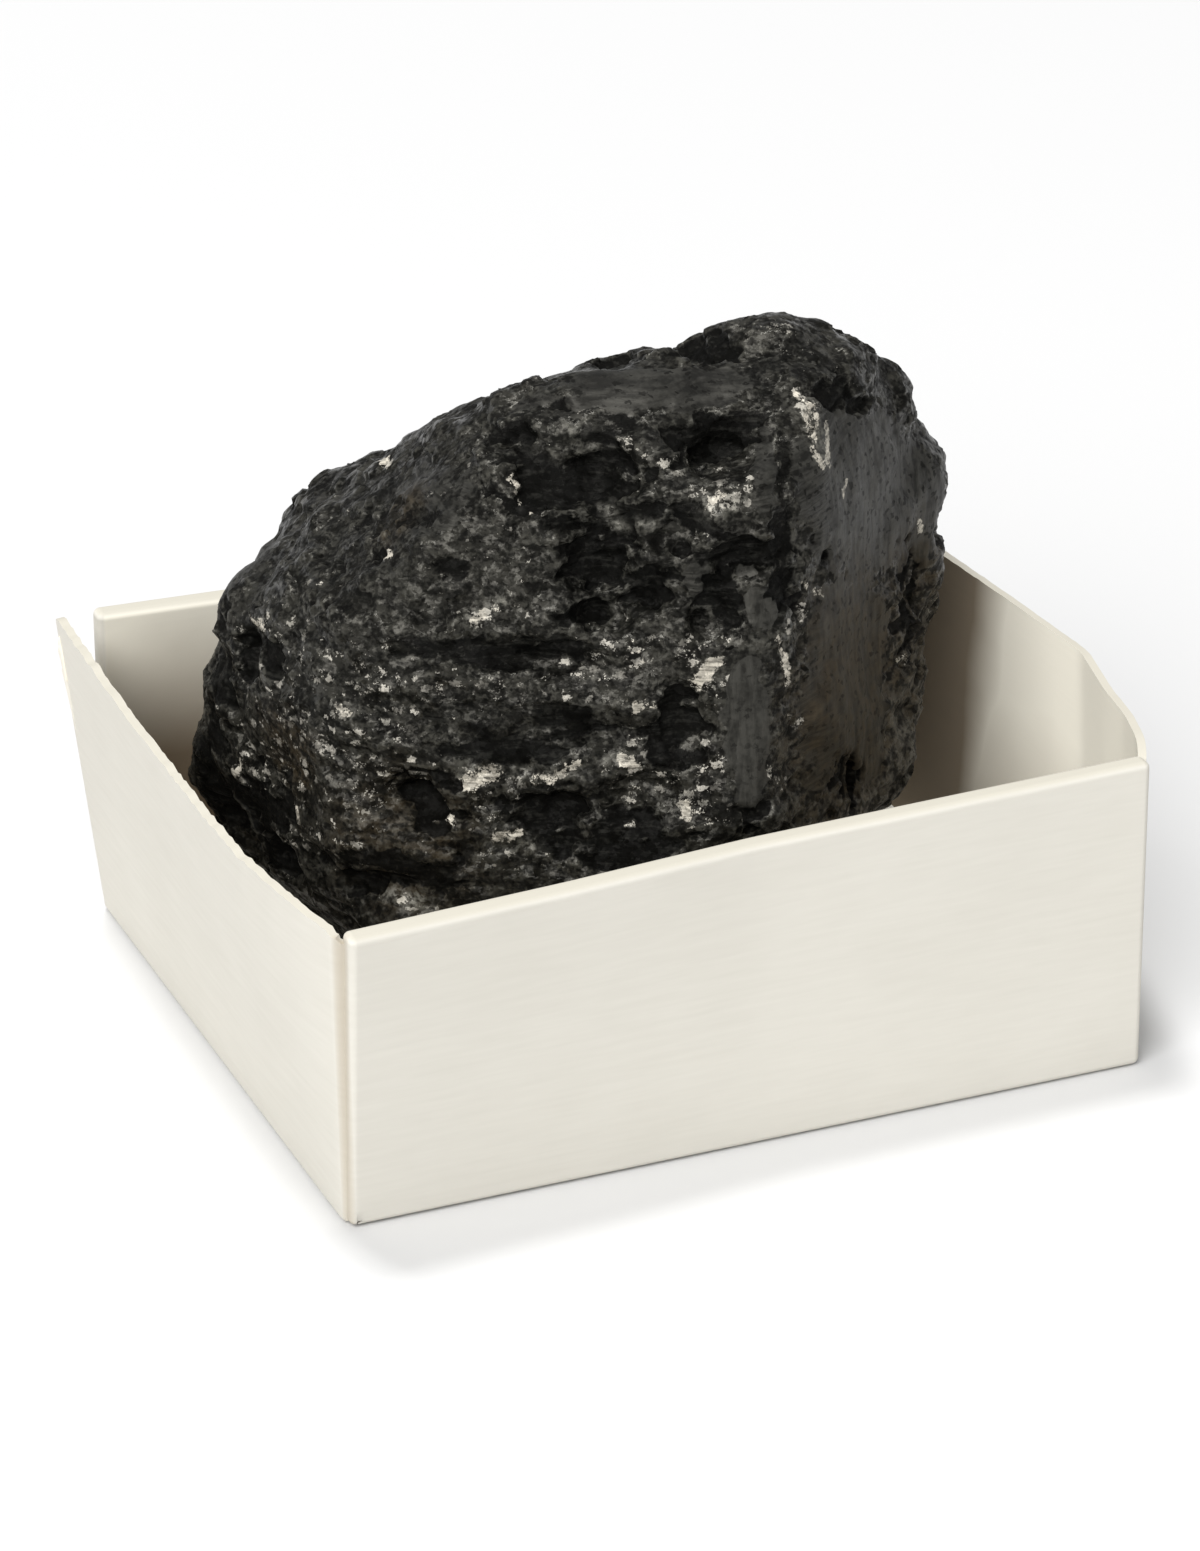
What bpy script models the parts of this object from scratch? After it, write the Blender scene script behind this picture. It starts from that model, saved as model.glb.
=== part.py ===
"""A lump of hard coal standing in a small open tray folded from one sheet of off-white card.

Metres, +Z up. The origin is in the middle of the tray's underside; the tray's long hemmed front wall
faces -Y. The lump is one broken block, and the tray is one sheet of card.
"""

import math

import bmesh
import bpy
import numpy as np
from mathutils import Vector, noise

MM = 0.001

# Tray: outside size at the foot of the walls
TRAY_WIDTH = 50.0          # mm
TRAY_DEPTH = 41.0          # mm
TRAY_HEIGHT = 20.0         # mm
CARD = 0.5                 # mm, one layer of card
HEM = 1.4                  # mm, front and back walls: two layers folded over the end tabs
FLOOR_SINK = 0.1           # mm, the floor's flat underside stands this much below the hems' feet
WALL_FOOT = 0.3            # mm, height of the single walls' feet
WALL_BULGE = 0.1           # mm, the single walls stand this much outside the hems' ends
TAB_SET_BACK = 0.5         # mm, from the outside of a hem to the outside of a tab in it
WALL_ROWS = 6              # rows of faces up a wall
TRAY_COLOUR = (0.80, 0.77, 0.70, 1.0)

FRONT, RIGHT, BACK, LEFT = (0, -1), (1, 0), (0, 1), (-1, 0)   # the way each side faces

# Panels of the folded sheet: side, distance out from the side's foot line, foot height, thickness, columns
# of faces between two stations, stations. Hand-folded card springs open, so the rims lean away from the
# feet. A station is a place along the foot, a place along the rim, the rim's lean outward and its rise
# above the tray's height, in mm, going counter-clockwise round the tray seen from above.
PANELS = {
    "front_hem": (FRONT, 0.0, FLOOR_SINK, HEM, 3, [
        (-24.9, -25.8, 2.5, 0.0), (-12.0, -12.2, 1.6, 0.0), (0.0, -0.4, 0.5, 0.0), (24.9, 24.8, -0.4, 0.0)]),
    "back_hem": (BACK, 0.0, FLOOR_SINK, HEM, 3, [
        (-24.9, -24.4, -0.2, 0.0), (-8.0, -8.0, -0.6, 0.0), (8.5, 8.5, -0.5, 0.0), (24.9, 25.1, 0.1, 0.0)]),
    "left_wall": (LEFT, WALL_BULGE, WALL_FOOT, CARD, 2, [
        (-20.0, -20.3, 2.7, 0.2), (-8.0, -8.0, 3.2, 0.2), (6.0, 6.0, 3.3, 0.2), (14.5, 15.2, 2.7, 0.2),
        (20.0, 22.2, 1.6, 0.1)]),
    # The right wall is creased near its front end, and the end turns in to the front hem
    "right_wall": (RIGHT, WALL_BULGE, WALL_FOOT, CARD, 1, [
        (-20.0, -19.5, -0.1, -0.4), (-18.6, -17.4, 0.6, 0.1), (-17.2, -14.6, 1.2, 0.2),
        (-15.6, -11.4, 1.5, 0.2), (-13.6, -6.8, 2.2, 0.4), (-2.0, 1.0, 1.3, 0.3),
        (9.0, 10.0, 0.2, 0.1), (20.0, 19.7, -0.5, -0.2)]),
    # The walls' ends turn the corners as tabs, cut away at the top, that run into the hems
    "front_left_tab": (FRONT, -TAB_SET_BACK, WALL_FOOT, CARD, 2, [
        (-24.85, -26.45, 2.1, -0.3), (-21.0, -21.0, 1.65, -4.0)]),
    "front_right_tab": (FRONT, -TAB_SET_BACK, WALL_FOOT, CARD, 2, [
        (21.0, 21.0, -0.6, -4.0), (24.85, 24.7, -0.6, -0.9)]),
    "back_right_tab": (BACK, -TAB_SET_BACK, WALL_FOOT, CARD, 2, [
        (-24.85, -24.35, -0.5, -0.8), (-21.0, -21.0, -0.5, -4.0)]),
    "back_left_tab": (BACK, -TAB_SET_BACK, WALL_FOOT, CARD, 2, [
        (21.0, 21.0, -0.2, -8.0), (24.85, 26.9, 0.05, -4.5)]),
}

# Lump: size of the broken block, in millimetres until it is placed
LUMP_MIDDLE = (-1.2, 2.0, 19.0)
LUMP_FOOT_GAP = 0.3        # mm, clear space between the lump's lowest point and the tray floor
BALL_SUBDIVISIONS = 7      # start ball of 81,920 triangles
LUMP_TRIANGLES = 7600      # left after the flat stretches are thinned
ARRIS_SHARPNESS = 16.0     # higher is a crisper edge between two fracture faces
SWELL_HEIGHT = 0.7         # mm, slow rises and dips of the fracture faces
LEDGE_HEIGHT = 0.3         # mm, thin ledges along the bedding
LEDGE_SPACING = 1.7        # mm
SMOOTH_SHARE = 0.8         # share of the breakage that is missing from the smooth patches
BLOCKY_CHIPS = {"cell_size": (5.6, 5.6, 3.2), "tilt": 0.55, "step": 0.12, "seed": 1}   # mm
SMALL_CHIPS = {"cell_size": (2.6, 2.6, 1.6), "tilt": 0.2, "step": 0.06, "seed": 2}     # mm
COAL_COLOUR = (0.018, 0.018, 0.019, 1.0)

# Fracture faces that bound the block: the way each one faces (azimuth from +X, elevation, in degrees)
# and its distance from the lump's middle in millimetres
FRACTURE_FACES = {
    "front": (245, 17, 16.9),
    "front low": (248, -22, 19.2),
    "front top": (252, 66, 22.6),
    "front right": (312, 8, 17.2),
    "right": (358, 3, 22.9),
    "right back": (40, 0, 22.6),
    "back": (88, 4, 15.2),
    "back left": (132, 0, 21.4),
    "left": (186, -4, 21.0),
    "left front": (212, 10, 21.2),
    "top": (270, 82, 23.0),
    "left slope": (160, 47, 18.9),
    "left shoulder": (168, 20, 22.5),
    "right shoulder": (10, 42, 26.1),
    "back slope": (90, 48, 16.3),
    "foot": (0, -90, 18.1),
    "foot left": (195, -45, 19.8),
    "foot right": (340, -42, 17.0),
    "foot back": (90, -45, 18.6),
}

# Shell-shaped hollows where chips broke out: azimuth and elevation of the hollow from the lump's
# middle in degrees, then width, height and depth in millimetres
HOLLOWS = {
    "long upper scallop": (243, 62, 8.6, 4.6, 1.5),
    "upper right scallop": (291, 60, 5.6, 4.0, 1.3),
    "scallop under it": (252, 53, 4.6, 2.6, 1.0),
    "scallop under it, right": (267, 51, 3.2, 2.4, 1.0),
    "middle scallop, left": (250, 48, 4.6, 2.6, 1.3),
    "middle scallop, right": (262, 43, 4.2, 2.2, 1.2),
    "lower middle scallop": (252, 41, 3.8, 2.4, 1.1),
    "long streak hollow": (237, 32, 7.6, 1.9, 0.8),
    "hollow over the leaf": (280, 44, 4.2, 1.8, 1.0),
    "hollow beside the leaf": (273, 37, 2.4, 2.6, 1.0),
    "upper left streaks": (226, 66, 6.0, 2.4, 0.8),
    "left pit": (174, 13, 2.8, 3.2, 1.7),
    "black slot": (215, 3, 4.0, 2.8, 1.5),
    "low left corner hollow": (169, -20, 5.0, 5.0, 1.2),
    "low left hollow": (188, -18, 5.0, 4.0, 1.3),
    "front left foot": (212, -13, 5.0, 3.4, 1.2),
    "low front hollow": (259, 6, 5.5, 2.8, 0.9),
    "low front streak": (267, 20, 2.8, 4.2, 0.7),
    "low middle hollow": (242, 4, 4.4, 2.2, 0.7),
    "right foot slot": (309, -6, 2.0, 4.2, 1.4),
    "right edge crack": (348, 12, 2.6, 6.0, 1.2),
    "right edge hollow": (352, 3, 4.0, 5.0, 0.9),
    "left shoulder dip": (138, 17, 5.0, 3.5, 0.4),
    "top dip": (160, 82, 6.0, 5.0, 0.35),
    "top rim hollow": (352, 74, 6.5, 3.0, 1.2),
    "top rim hollow, left": (330, 86, 4.0, 2.2, 0.8),
    "back hollow, high": (80, 38, 8.0, 4.0, 1.5),
    "back hollow, low": (104, -8, 9.0, 5.0, 1.6),
    "right side hollow": (20, 0, 6.0, 7.0, 1.3),
    "back left hollow": (140, 8, 7.0, 5.0, 1.5),
    "back right hollow": (52, -18, 7.0, 5.0, 1.4),
}

# Knobs that stand out of the fracture faces: azimuth, elevation, width, height and rise in mm
KNOBS = {
    "top knob": (4, 64, 8.0, 6.0, 1.4),
    "right brow": (1, 25, 6.0, 7.0, 1.2),
    "right brow, upper": (358, 38, 5.0, 3.5, 0.8),
    "left shoulder knob": (160, 16, 5.0, 4.0, 1.3),
    "left slope rise": (155, 58, 8.0, 6.0, 0.6),
    "left slope rise, behind": (130, 34, 5.0, 4.0, 0.5),
    "left foot rise": (158, -12, 4.0, 4.0, 0.6),
    "right foot knob": (332, -18, 6.0, 6.0, 1.0),
}

# Smooth fracture patches, where the breakage is shallow: azimuth, elevation, width, height in mm
SMOOTH_PATCHES = {
    "top": (295, 77, 13.0, 6.0),
    "right, upper": (326, 42, 11.0, 13.0),
    "right, lower": (310, 12, 9.0, 16.0),
    "leaf": (282, 37, 4.5, 5.5),
    "strip": (276, 15, 4.5, 9.0),
    "left, upper": (208, 44, 8.0, 4.5),
    "middle band": (222, 20, 9.0, 4.0),
    "back": (80, 10, 12.0, 9.0),
}


def material(name, colour, roughness):
    """A plain Principled material."""
    made = bpy.data.materials.new(name)
    made.use_nodes = True
    shader = made.node_tree.nodes["Principled BSDF"]
    shader.inputs["Base Color"].default_value = colour
    shader.inputs["Roughness"].default_value = roughness
    shader.inputs["Metallic"].default_value = 0.0
    made.diffuse_color = colour
    return made


def collection(name):
    made = bpy.data.collections.new(name)
    bpy.context.scene.collection.children.link(made)
    return made


def facing(azimuth, elevation):
    """Unit vector for an azimuth and elevation in degrees."""
    a, e = math.radians(azimuth), math.radians(elevation)
    return Vector((math.cos(a) * math.cos(e), math.sin(a) * math.cos(e), math.sin(e)))


# ---------------------------------------------------------------- coal lump


def block_radius(directions):
    """Distance from the lump's middle to the rounded block of fracture faces, along each direction."""
    normals = np.array([facing(azimuth, elevation) for azimuth, elevation, _ in FRACTURE_FACES.values()])
    distances = np.array([distance for _, _, distance in FRACTURE_FACES.values()])
    reach = np.clip(directions @ normals.T, 0.0, None) / distances
    return (reach ** ARRIS_SHARPNESS).sum(axis=1) ** (-1.0 / ARRIS_SHARPNESS)


def patch_offsets(points, azimuth, elevation, width, height):
    """Sideways and upward offsets from a patch's middle, as shares of its half width and half height."""
    out = facing(azimuth, elevation)
    middle = np.array(out) * block_radius(np.array([out]))[0]
    sideways = Vector((-math.sin(math.radians(azimuth)), math.cos(math.radians(azimuth)), 0.0))
    upward = out.cross(sideways)
    away = points - middle
    across, up = away @ np.array(sideways) / (width / 2), away @ np.array(upward) / (height / 2)
    return across, up, away @ np.array(out)


def smoothness(points):
    """1 inside the smooth fracture patches, 0 outside them, with a soft border."""
    level = np.zeros(len(points))
    for azimuth, elevation, width, height in SMOOTH_PATCHES.values():
        across, up, out = patch_offsets(points, azimuth, elevation, width, height)
        inside = np.clip(1.6 - 1.3 * np.sqrt(across ** 2 + up ** 2), 0.0, 1.0)
        level = np.maximum(level, np.where(out > -width / 2, inside, 0.0))
    return level


def hollow_depth(points):
    """Depth in mm of the shell-shaped hollows: steep at the upper lip, running out shallow below."""
    depth = np.zeros(len(points))
    wander = np.array([noise.noise(Vector(point) * 0.45) for point in points])
    for azimuth, elevation, width, height, deepest in HOLLOWS.values():
        across, up, out = patch_offsets(points, azimuth, elevation, width, height)
        inside = 1.0 - across ** 2 - up ** 2 + 0.5 * wander
        bowl = np.clip(inside, 0.0, 1.0) ** 0.45 * (1.44 + 0.48 * np.clip(up, -1.0, 1.0))
        depth = np.maximum(depth, np.where(out > -width / 2, deepest * bowl, 0.0))
    return depth


def knob_rise(points):
    """Rise in mm of the rounded knobs."""
    rise = np.zeros(len(points))
    for azimuth, elevation, width, height, highest in KNOBS.values():
        across, up, out = patch_offsets(points, azimuth, elevation, width, height)
        inside = np.clip(1.0 - 0.5 * (across ** 2 + up ** 2), 0.0, 1.0)
        rise = np.maximum(rise, np.where(out > -width, highest * inside, 0.0))
    return rise


def broken_faces(points, cell_size, tilt, step, seed):
    """Height in mm of chips with flat tilted faces; each cell of the pattern is one chip."""
    shift = Vector((seed * 17.3, seed * 5.1, seed * 9.7))
    heights = np.empty(len(points))
    for index, point in enumerate(points):
        place = Vector([value / size for value, size in zip(point, cell_size)]) + shift
        chip_middle = noise.voronoi(place)[1][0]
        lean = noise.cell_vector(chip_middle) * 2.0 - Vector((1.0, 1.0, 1.0))
        heights[index] = tilt * lean.dot(place - chip_middle) + step * lean.z
    return heights


def bedding_ledges(points):
    """Height in mm of the thin ledges left along the coal's level bedding."""
    heights = np.empty(len(points))
    for index, point in enumerate(points):
        place = Vector(point)
        warped = point[2] / LEDGE_SPACING + 1.6 * noise.noise(place * 0.09) + 0.5 * noise.noise(place * 0.35)
        tooth = warped - math.floor(warped)
        patchy = min(1.0, max(0.0, 0.55 + 1.4 * noise.noise(place * 0.16 + Vector((7.0, 3.0, 1.0)))))
        heights[index] = patchy * (tooth ** 2 - 0.4)
    return heights


def swells(points):
    """Slow rises and dips in mm, so that no fracture face is truly flat."""
    return np.array([noise.fractal(Vector(point) * 0.11, 0.8, 2.1, 3) for point in points])


def coal_surface():
    """Ball of directions pushed out to the broken surface of the lump, in millimetres."""
    ball = bmesh.new()
    bmesh.ops.create_icosphere(ball, subdivisions=BALL_SUBDIVISIONS, radius=1.0)
    directions = np.array([vertex.co.normalized() for vertex in ball.verts])
    block = directions * block_radius(directions)[:, None]
    rough = 1.0 - SMOOTH_SHARE * smoothness(block)
    height = SWELL_HEIGHT * swells(block) + knob_rise(block) - hollow_depth(block)
    height += rough * (broken_faces(block, **BLOCKY_CHIPS) + broken_faces(block, **SMALL_CHIPS))
    height += rough * LEDGE_HEIGHT * bedding_ledges(block)
    surface = block + directions * height[:, None]
    for vertex, place in zip(ball.verts, surface):
        vertex.co = place
    return ball


def make_lump(parts):
    ball = coal_surface()
    foot_height = CARD + FLOOR_SINK + LUMP_FOOT_GAP
    for vertex in ball.verts:
        place = vertex.co + Vector(LUMP_MIDDLE)
        place.z = max(place.z, foot_height)
        vertex.co = place * MM
    mesh = bpy.data.meshes.new("coal_lump")
    ball.to_mesh(mesh)
    thinning = LUMP_TRIANGLES / len(ball.faces)
    ball.free()
    lump = bpy.data.objects.new("coal_lump", mesh)
    parts.objects.link(lump)
    lump.data.materials.append(material("coal", COAL_COLOUR, 0.4))
    thin = lump.modifiers.new("thin the flat stretches", "DECIMATE")
    thin.ratio = thinning
    thin.use_collapse_triangulate = True
    return lump


# ---------------------------------------------------------------- card tray


def on_side(side, out, along, height):
    """Point in metres from its distance out from a side's foot line, its place along it and its height."""
    half = (TRAY_WIDTH if side[0] else TRAY_DEPTH) / 2
    across = Vector((side[0], side[1], 0.0))
    onward = Vector((-side[1], side[0], 0.0))
    return (across * (half + out) + onward * along + Vector((0.0, 0.0, height))) * MM


def between(points, share):
    """Point at a share of the way along a row of stations."""
    place = share * (len(points) - 1)
    start = min(int(place + 0.001), len(points) - 2)
    return points[start].lerp(points[start + 1], place - start)


def panel(name, cutters):
    """One upright panel of card, whose outer face runs from its foot line to its rim line."""
    side, out, foot_height, thickness, columns, stations = PANELS[name]
    foot = [on_side(side, out, station[0], foot_height) for station in stations]
    rim = [on_side(side, out + lean, place, TRAY_HEIGHT + rise) for _, place, lean, rise in stations]
    sheet = bmesh.new()
    bmesh.ops.create_grid(sheet, x_segments=columns * (len(stations) - 1), y_segments=WALL_ROWS, size=0.5)
    for vertex in sheet.verts:
        share, up = vertex.co.x + 0.5, vertex.co.y + 0.5
        vertex.co = between(foot, share).lerp(between(rim, share), up)
    mesh = bpy.data.meshes.new(name)
    sheet.to_mesh(mesh)
    sheet.free()
    wall = bpy.data.objects.new(name, mesh)
    cutters.objects.link(wall)
    wall.display_type = "WIRE"
    wall.hide_render = True
    solid = wall.modifiers.new("card thickness", "SOLIDIFY")
    solid.thickness = thickness * MM
    solid.offset = -1.0
    if thickness == HEM:
        fold = wall.modifiers.new("rounded folds", "BEVEL")
        fold.width = 0.42 * thickness * MM
        fold.segments = 2
        fold.limit_method = "ANGLE"
        fold.angle_limit = math.radians(50)
    return wall


def make_floor(parts):
    """Flat plate whose edges end inside the hems and the walls."""
    width = TRAY_WIDTH + 2 * WALL_BULGE - CARD
    depth = TRAY_DEPTH - HEM - FLOOR_SINK
    thickness = CARD + FLOOR_SINK
    floor = bmesh.new()
    bmesh.ops.create_cube(floor, size=1.0)
    bmesh.ops.scale(floor, vec=(width * MM, depth * MM, thickness * MM), verts=floor.verts)
    bmesh.ops.translate(floor, vec=(0.0, 0.0, thickness * MM / 2), verts=floor.verts)
    mesh = bpy.data.meshes.new("tray")
    floor.to_mesh(mesh)
    floor.free()
    tray = bpy.data.objects.new("tray", mesh)
    parts.objects.link(tray)
    return tray


def make_tray(parts, cutters):
    tray = make_floor(parts)
    tray.data.materials.append(material("card", TRAY_COLOUR, 0.8))
    for name in PANELS:
        join = tray.modifiers.new("join " + name, "BOOLEAN")
        join.operation = "UNION"
        join.object = panel(name, cutters)
    return tray


for item in list(bpy.data.objects):
    bpy.data.objects.remove(item, do_unlink=True)

parts = collection("coal_lump_in_tray")
cutters = collection("tray_panels")
make_lump(parts)
make_tray(parts, cutters)
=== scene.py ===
"""A lump of hard coal in a small tray folded from off-white card, dressed for close viewing."""

import math

import bmesh
import bpy
import numpy as np
from mathutils import Matrix, Vector, noise
from mathutils.bvhtree import BVHTree


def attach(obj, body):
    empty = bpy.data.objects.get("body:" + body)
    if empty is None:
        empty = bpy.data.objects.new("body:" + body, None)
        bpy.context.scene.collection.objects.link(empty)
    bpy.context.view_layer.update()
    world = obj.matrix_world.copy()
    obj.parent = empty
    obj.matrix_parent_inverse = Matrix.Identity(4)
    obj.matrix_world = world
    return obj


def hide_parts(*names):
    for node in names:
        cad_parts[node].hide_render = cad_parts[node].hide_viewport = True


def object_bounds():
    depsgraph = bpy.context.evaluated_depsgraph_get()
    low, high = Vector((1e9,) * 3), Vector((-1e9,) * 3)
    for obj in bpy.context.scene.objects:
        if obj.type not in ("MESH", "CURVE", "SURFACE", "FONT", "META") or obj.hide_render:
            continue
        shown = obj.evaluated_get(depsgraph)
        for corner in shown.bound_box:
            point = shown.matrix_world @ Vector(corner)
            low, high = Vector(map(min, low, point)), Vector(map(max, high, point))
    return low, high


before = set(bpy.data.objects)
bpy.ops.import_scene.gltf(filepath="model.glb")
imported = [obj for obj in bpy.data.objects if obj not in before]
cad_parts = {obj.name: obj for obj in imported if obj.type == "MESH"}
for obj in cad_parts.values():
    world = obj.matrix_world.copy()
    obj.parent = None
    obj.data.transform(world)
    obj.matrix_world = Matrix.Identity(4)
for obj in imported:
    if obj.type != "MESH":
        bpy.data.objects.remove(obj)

cad_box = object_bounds()

# ---------------------------------------------------------------- camera
# A short telephoto on a tripod, looking down at the tray's front left corner from a little under half
# a metre. The lens and the tilt are the ones that give the tray's four rim corners their places.
MM = 0.001
CAMERA_DISTANCE = 450 * MM
CAMERA_AZIMUTH = math.radians(23.564)      # how far the camera stands round to the left of the front wall
CAMERA_ELEVATION = math.radians(27.971)
CAMERA_ROLL = math.radians(0.934)
CAMERA_AIM = Vector((0.0, 0.0, 10 * MM))
CAMERA_SLIDE = (-0.991 * MM, 3.575 * MM)   # rightward and upward, square to the view
FRAME_WIDTH, FRAME_HEIGHT = 1200, 1551     # pixels, picture size that the lens is worked out for
PIXELS_PER_MM = 16.9059                    # at the aim point

camera_data = bpy.data.cameras.new("camera")
camera_data.sensor_width = 36.0
camera_data.lens = PIXELS_PER_MM * (CAMERA_DISTANCE / MM) / FRAME_HEIGHT * camera_data.sensor_width
camera_data.clip_start = 0.01
camera = bpy.data.objects.new("camera", camera_data)
bpy.context.scene.collection.objects.link(camera)
forward = Vector((
    math.sin(CAMERA_AZIMUTH) * math.cos(CAMERA_ELEVATION),
    math.cos(CAMERA_AZIMUTH) * math.cos(CAMERA_ELEVATION),
    -math.sin(CAMERA_ELEVATION)))
level = Vector((math.cos(CAMERA_AZIMUTH), -math.sin(CAMERA_AZIMUTH), 0.0))
upward = level.cross(forward)
camera_place = CAMERA_AIM - forward * CAMERA_DISTANCE + level * CAMERA_SLIDE[0] + upward * CAMERA_SLIDE[1]
rolled_level = level * math.cos(CAMERA_ROLL) + upward * math.sin(CAMERA_ROLL)
rolled_up = upward * math.cos(CAMERA_ROLL) - level * math.sin(CAMERA_ROLL)
camera_turn = Matrix((rolled_level, rolled_up, -forward)).transposed().to_4x4()
camera.matrix_world = Matrix.Translation(camera_place) @ camera_turn
bpy.context.scene.camera = camera
bpy.context.scene.view_settings.view_transform = "Standard"

# ---------------------------------------------------------------- coal lump: broken surface
# One broken block of hard coal. The solid of the frame gives its outline, fracture faces and hollows;
# finer chips, ledges and streaks are broken into a dense skin that takes its place.
SKIN_STEP = 0.298 * MM         # distance between the skin's points
HOLLOW_DEPTH = 0.4             # mm, cut below the frame's own hollows
SKIN_PASSES = 6                # rounds of smoothing that take the remesh's steps off
SLOW_PASSES = 32               # rounds that leave only the slow form, which pits and ridges are told from
TOP_MARGIN = 0.05              # mm, chips stay this much under the frame's highest point
OVAL_REACH = 2.5               # mm, an oval reaches this much deeper along the view than its half width
PLACE_DIGITS = 1               # places carried on to the solid are kept to 0.1 mm
MARK_SCALE = round(PIXELS_PER_MM, 1)   # pixels per mm, for the sizes of ovals and streaks

# Places on the side towards the camera are named where the camera's picture shows them, in pixels across
# and down from its top left corner. Ovals are square to the view: left, right, top and bottom end, strength
SMOOTH_FACES = {
    "top face": (570, 745, 362, 412, 0.9),
    "top face, left": (520, 600, 392, 412, 0.6),
    "right face, upper": (790, 934, 408, 565, 1.0),
    "right face, edge": (880, 948, 430, 575, 0.8),
    "right face, lower": (798, 905, 570, 800, 0.9),
    "leaf, left": (684, 712, 553, 600, 0.9),
    "arris face": (752, 778, 425, 520, 0.8),
    "left face, upper": (380, 480, 465, 545, 0.5),
    "brown band": (300, 400, 640, 660, 0.2),
    "low plate": (340, 440, 800, 850, 0.3),
}
# Narrow smooth faces: two ends, half width in pixels, strength
SMOOTH_STRIPS = {
    "leaf": ((736, 570), (770, 624), 18, 1.0),
    "strip": ((747, 668), (751, 800), 25, 1.0),
}
# Dark hollows, torn below the frame's own and painted near-black as shade in the finish: ovals as above
DARK_HOLLOWS = {
    "big scallop, right": (556, 628, 455, 500, 1.0),
    "big scallop, left": (508, 592, 462, 508, 0.9),
    "big scallop, lower": (578, 650, 503, 540, 1.0),
    "big scallop, tail": (545, 590, 513, 533, 0.9),
    "upper right scallop": (668, 740, 420, 458, 1.0),
    "scallop under the top face": (735, 775, 407, 424, 0.8),
    "left of the middle": (565, 622, 553, 588, 1.0),
    "middle": (627, 675, 563, 602, 1.0),
    "under the middle": (570, 605, 600, 628, 1.0),
    "beside the leaf, left": (703, 742, 597, 632, 1.0),
    "beside the leaf, right": (772, 799, 562, 607, 1.0),
    "over the leaf": (700, 792, 533, 566, 0.9),
    "below the leaf": (658, 702, 690, 735, 0.8),
    "small, under the right cluster": (676, 708, 505, 530, 0.8),
    "top rim": (658, 748, 328, 360, 1.0),
    "top rim, left": (598, 634, 352, 364, 0.6),
    "right foot slot": (834, 862, 763, 802, 1.0),
    "arris foot": (745, 768, 805, 824, 0.9),
    "low middle": (648, 692, 737, 768, 0.9),
    "low rim, right": (560, 662, 820, 868, 0.9),
    "low rim, middle": (527, 600, 792, 822, 0.8),
    "arris band, high": (778, 790, 430, 500, 0.5),
    "arris band, low": (776, 792, 505, 585, 0.6),
    "crest, middle": (600, 640, 412, 432, 0.5),
    "crest, left": (545, 568, 396, 412, 0.6),
    "crest, under the arc": (575, 610, 430, 446, 0.6),
    "gap left of the leaf": (712, 738, 568, 600, 0.8),
    "edge crack, low": (900, 920, 562, 650, 0.8),
    "knob pit": (816, 848, 380, 402, 0.9),
    "knob pit, small": (852, 872, 398, 412, 0.9),
    "left pit": (238, 280, 636, 674, 1.0),
    "upper streak": (478, 535, 422, 442, 0.8),
    "upper streak, lower": (488, 555, 446, 464, 0.7),
    "small left pit": (434, 463, 557, 578, 0.6),
    "small upper pit": (372, 388, 542, 562, 0.9),
    "long streak": (440, 575, 638, 666, 0.6),
    "line below the long streak": (545, 602, 708, 736, 0.7),
    "middle band, lower": (452, 550, 733, 764, 0.7),
    "low black slot": (402, 448, 776, 822, 1.0),
    "low left": (212, 292, 776, 834, 0.8),
    "low left, lower": (246, 308, 832, 876, 0.9),
    "left foot": (338, 450, 853, 889, 0.8),
    "middle band": (405, 585, 698, 752, 0.4),
    "brown patch": (366, 428, 500, 528, 0.5),
    "left shoulder streaks": (318, 372, 590, 612, 0.5),
    "under the yellow chips": (440, 500, 633, 648, 0.6),
    "behind the row": (398, 440, 640, 660, 0.6),
    "left edge": (206, 236, 620, 700, 0.7),
    "left edge, low": (192, 222, 700, 780, 0.6),
}
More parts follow.
